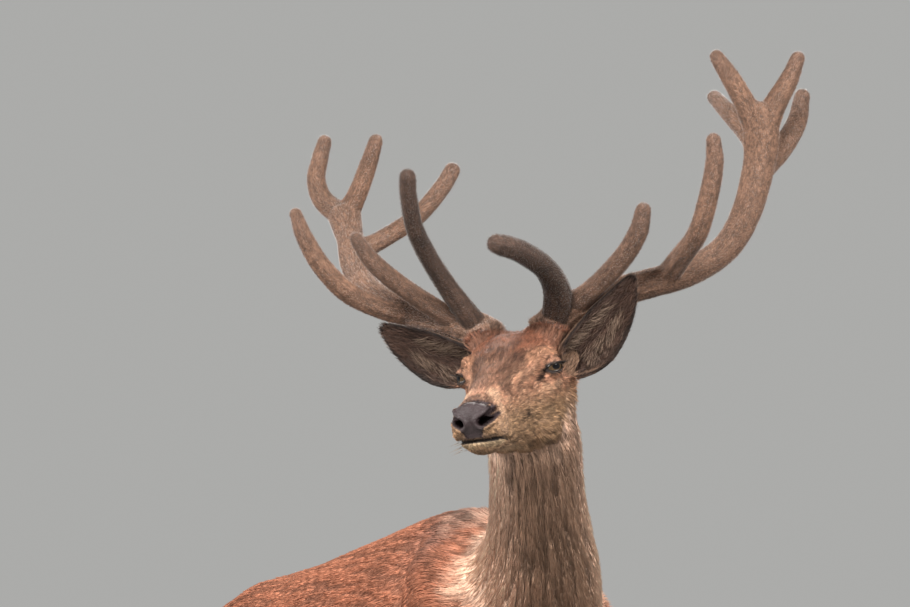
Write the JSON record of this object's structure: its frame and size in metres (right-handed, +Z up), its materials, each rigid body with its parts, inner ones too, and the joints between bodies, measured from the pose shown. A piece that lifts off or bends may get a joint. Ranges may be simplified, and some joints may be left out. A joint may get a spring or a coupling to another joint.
{
  "type": "red deer stag",
  "caption": "Life-size still model of a red deer stag in velvet antlers, lying on its brisket with folded legs, head raised and turned to its right.",
  "frame": {"origin": "on the floor under the brisket, where the trunk's flat underside rests", "axes": "+X forward along the trunk, +Y to the animal's left, +Z up"},
  "size_m": [1.9115, 0.9114, 1.4715],
  "materials": {
    "coat": "short red-brown summer coat",
    "face": "short light brown face hair",
    "neck_coat": "grey-brown neck hair",
    "velvet": "brown velvet",
    "horn": "dark horn",
    "eye": "wet and dark",
    "nose": "damp dark skin",
    "ear": "short grey-brown hair"
  },
  "bodies": {
    "root": {"antler_left_beam_lower": "velvet", "antler_left_beam_upper": "velvet", "antler_left_bez": "velvet", "antler_left_brow": "velvet", "antler_left_crown_back": "velvet", "antler_left_crown_inner": "velvet", "antler_left_crown_outer": "velvet", "antler_left_crown_rear": "velvet", "antler_left_trez": "velvet", "antler_right_beam_lower": "velvet", "antler_right_beam_upper": "velvet", "antler_right_bez": "velvet", "antler_right_brow": "velvet", "antler_right_crown_back": "velvet", "antler_right_crown_inner": "velvet", "antler_right_crown_outer": "velvet", "antler_right_trez": "velvet", "ear_left": "ear", "ear_right": "ear", "eye_left": "eye", "eye_right": "eye", "foreleg_left_cannon": "coat", "foreleg_left_claw_inner": "horn", "foreleg_left_claw_outer": "horn", "foreleg_left_dewclaw_inner": "horn", "foreleg_left_dewclaw_outer": "horn", "foreleg_left_forearm": "coat", "foreleg_right_cannon": "coat", "foreleg_right_claw_inner": "horn", "foreleg_right_claw_outer": "horn", "foreleg_right_dewclaw_inner": "horn", "foreleg_right_dewclaw_outer": "horn", "foreleg_right_forearm": "coat", "head": "face", "hindleg_left_cannon": "coat", "hindleg_left_claw_inner": "horn", "hindleg_left_claw_outer": "horn", "hindleg_left_dewclaw_inner": "horn", "hindleg_left_dewclaw_outer": "horn", "hindleg_left_gaskin": "coat", "hindleg_left_thigh": "coat", "hindleg_right_cannon": "coat", "hindleg_right_claw_inner": "horn", "hindleg_right_claw_outer": "horn", "hindleg_right_dewclaw_inner": "horn", "hindleg_right_dewclaw_outer": "horn", "hindleg_right_gaskin": "coat", "hindleg_right_thigh": "coat", "lower_jaw": "face", "neck": "neck_coat", "nose": "nose", "tail": "coat", "trunk": "coat"}
  },
  "joints": []
}
